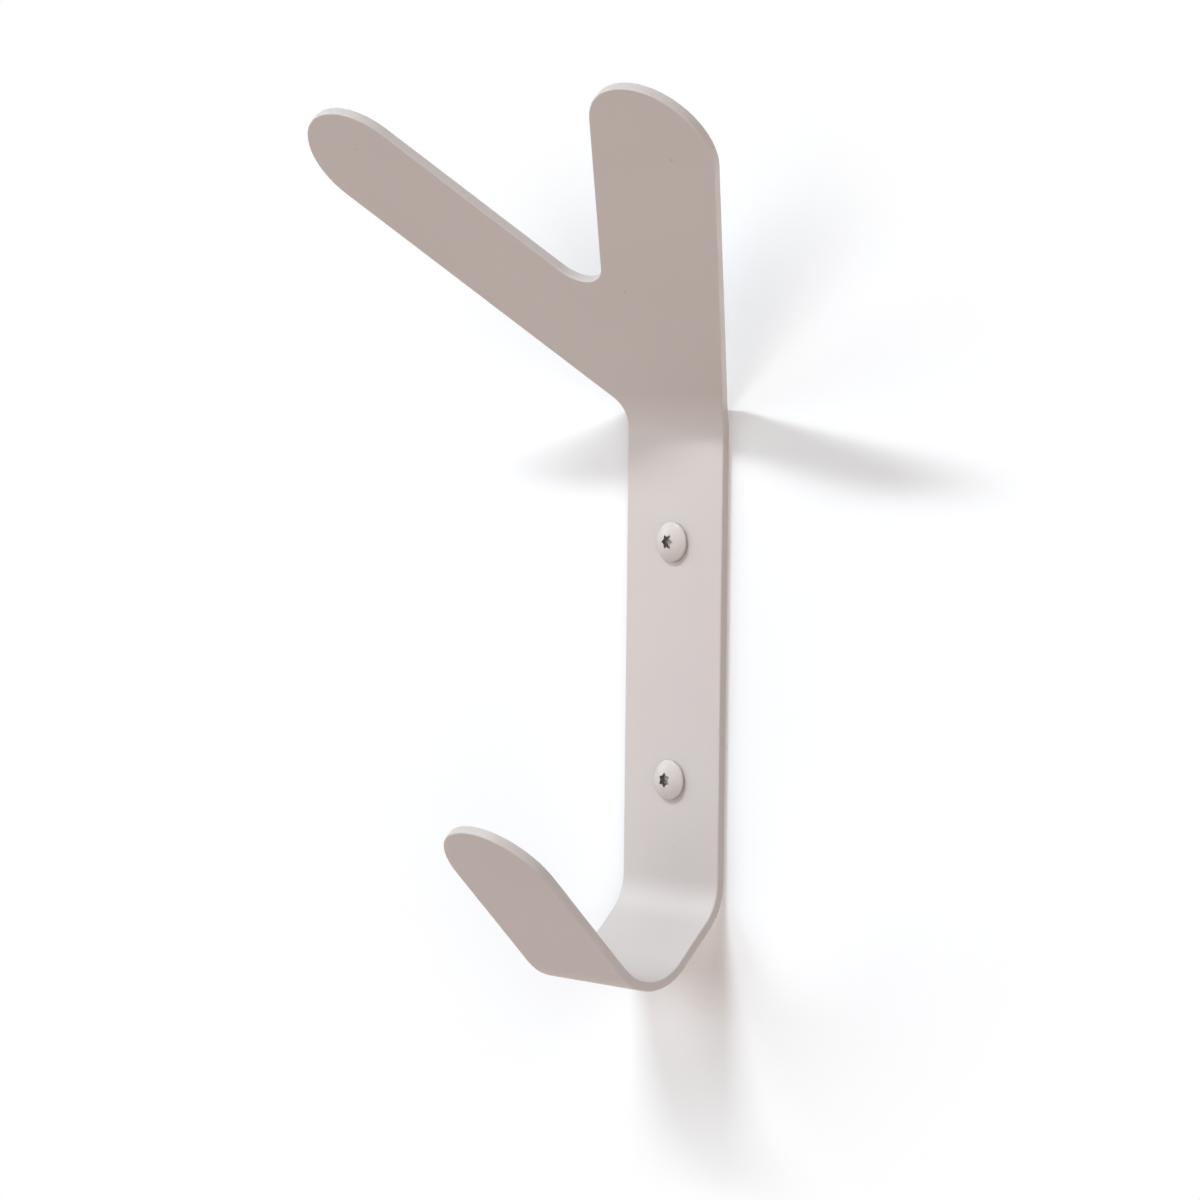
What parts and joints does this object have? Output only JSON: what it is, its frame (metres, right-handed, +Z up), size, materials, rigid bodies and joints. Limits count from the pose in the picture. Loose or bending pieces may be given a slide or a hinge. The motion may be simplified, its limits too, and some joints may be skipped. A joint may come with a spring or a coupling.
{
  "type": "wall coat hook",
  "caption": "Wall coat hook folded from sheet steel: a forked plate leans out above a strap screwed to the wall, and the strap's lower end turns up into a hook.",
  "frame": {"origin": "on the back of the strap, on its centre line, halfway between the screw holes", "axes": "+Z up along the strap, +Y into the wall, X across the hook"},
  "size_m": [0.1408, 0.1146, 0.225],
  "materials": {
    "powder_coat": "fine matt powder coat, warm light grey",
    "painted_screw": "smooth satin paint, warm light grey"
  },
  "bodies": {
    "root": {"hook": "powder_coat", "wall_screws": "painted_screw"}
  },
  "joints": []
}
